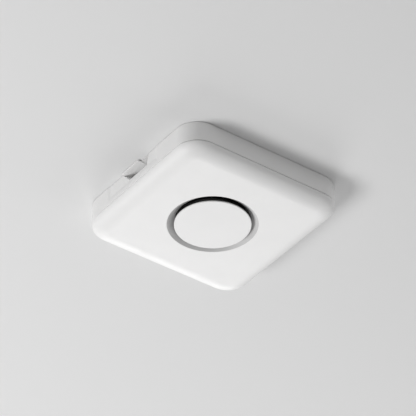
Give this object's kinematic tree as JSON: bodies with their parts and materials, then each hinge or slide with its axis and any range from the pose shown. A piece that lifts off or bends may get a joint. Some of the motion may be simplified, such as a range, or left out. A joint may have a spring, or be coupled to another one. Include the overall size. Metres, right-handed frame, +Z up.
{
  "type": "ceiling access point",
  "caption": "Square white wireless access point hung face down on a sliding ceiling bracket, with a round dished badge, port bay, cable notch and rail clamp.",
  "frame": {"origin": "centre of the bracket's ceiling screw pattern, on the ceiling plane", "axes": "+Z up into the ceiling, so the face looks along -Z; -Y is the side with the cable notch; the ceiling rail runs along Y"},
  "size_m": [0.2, 0.2025, 0.04],
  "materials": {
    "shell_white": "fine moulded texture, satin",
    "badge_white": "smooth satin plastic",
    "light_black": "smoked glossy light guide",
    "gasket_grey": "matt soft seal",
    "bracket_white": "white powder coat",
    "spring_steel": "bare spring steel",
    "zinc_screw": "zinc-plated",
    "tab_white": "moulded, satin",
    "cast_aluminium": "as cast",
    "board_green": "solder mask",
    "tin_plate": "tin-plated sheet",
    "chip_black": "moulded epoxy",
    "pad_grey": "soft thermal pad",
    "jack_shield": "nickel-plated shield over a black insert",
    "jack_gold": "gold-plated wire",
    "jack_black": "moulded nylon",
    "button_black": "moulded nylon",
    "capacitor_sleeve": "sleeved can",
    "led_white": "clear lamp package",
    "label_silver": "blank printed film"
  },
  "bodies": {
    "ceiling_bracket": {"mounting_bracket": "bracket_white", "slider_rivets": "zinc_screw", "catch_leaf": "spring_steel", "catch_rivet": "zinc_screw", "clamp_screw": "zinc_screw"},
    "rail_jaw_body": {"rail_jaw": "bracket_white"},
    "release_slider": {"lock_slider": "tab_white"},
    "reset_plunger": {"reset_button": "button_black"},
    "access_point": {"rear_housing": "shell_white", "front_cover": "shell_white", "seam_gasket": "gasket_grey", "badge_disc": "badge_white", "light_guide": "light_black", "led_board": "board_green", "status_leds": "led_white", "led_connector": "jack_black", "heat_sink": "cast_aluminium", "sink_screws": "zinc_screw", "main_board": "board_green", "board_screws": "zinc_screw", "circuit_chips": "chip_black", "thermal_pads": "pad_grey", "power_jack": "jack_black", "power_pin": "zinc_screw", "reset_switch": "jack_black", "poe_transformer": "chip_black", "filter_capacitors": "capacitor_sleeve", "housing_screws": "zinc_screw", "security_plate": "tin_plate", "rating_label": "label_silver", "shield_can_processor": "tin_plate", "shield_can_radio_2g": "tin_plate", "shield_can_radio_5g": "tin_plate", "network_jack_uplink": "jack_shield", "network_jack_second": "jack_shield", "jack_contacts_uplink": "jack_gold", "jack_contacts_second": "jack_gold", "antenna_2g_left": "tin_plate", "antenna_2g_right": "tin_plate", "antenna_5g_rear_left": "tin_plate", "antenna_5g_rear_right": "tin_plate", "antenna_5g_front_left": "tin_plate", "antenna_5g_front_right": "tin_plate"}
  },
  "joints": [
    {"name": "unit_slide", "type": "slide", "parent": "ceiling_bracket", "child": "access_point", "axis": [0, 1, 0], "range_m": [0, 0.01], "deforming": ["catch_leaf"]},
    {"name": "release_slide", "type": "slide", "parent": "ceiling_bracket", "child": "release_slider", "axis": [0, 1, 0], "range_m": [0, 0.003], "stiffness_N_per_m": 300},
    {"name": "jaw_slide", "type": "slide", "parent": "ceiling_bracket", "child": "rail_jaw_body", "axis": [1, 0, 0], "range_m": [0, 0.008]},
    {"name": "reset_press", "type": "slide", "parent": "access_point", "child": "reset_plunger", "axis": [0, 1, 0], "range_m": [0, 0.0006], "stiffness_N_per_m": 500}
  ]
}
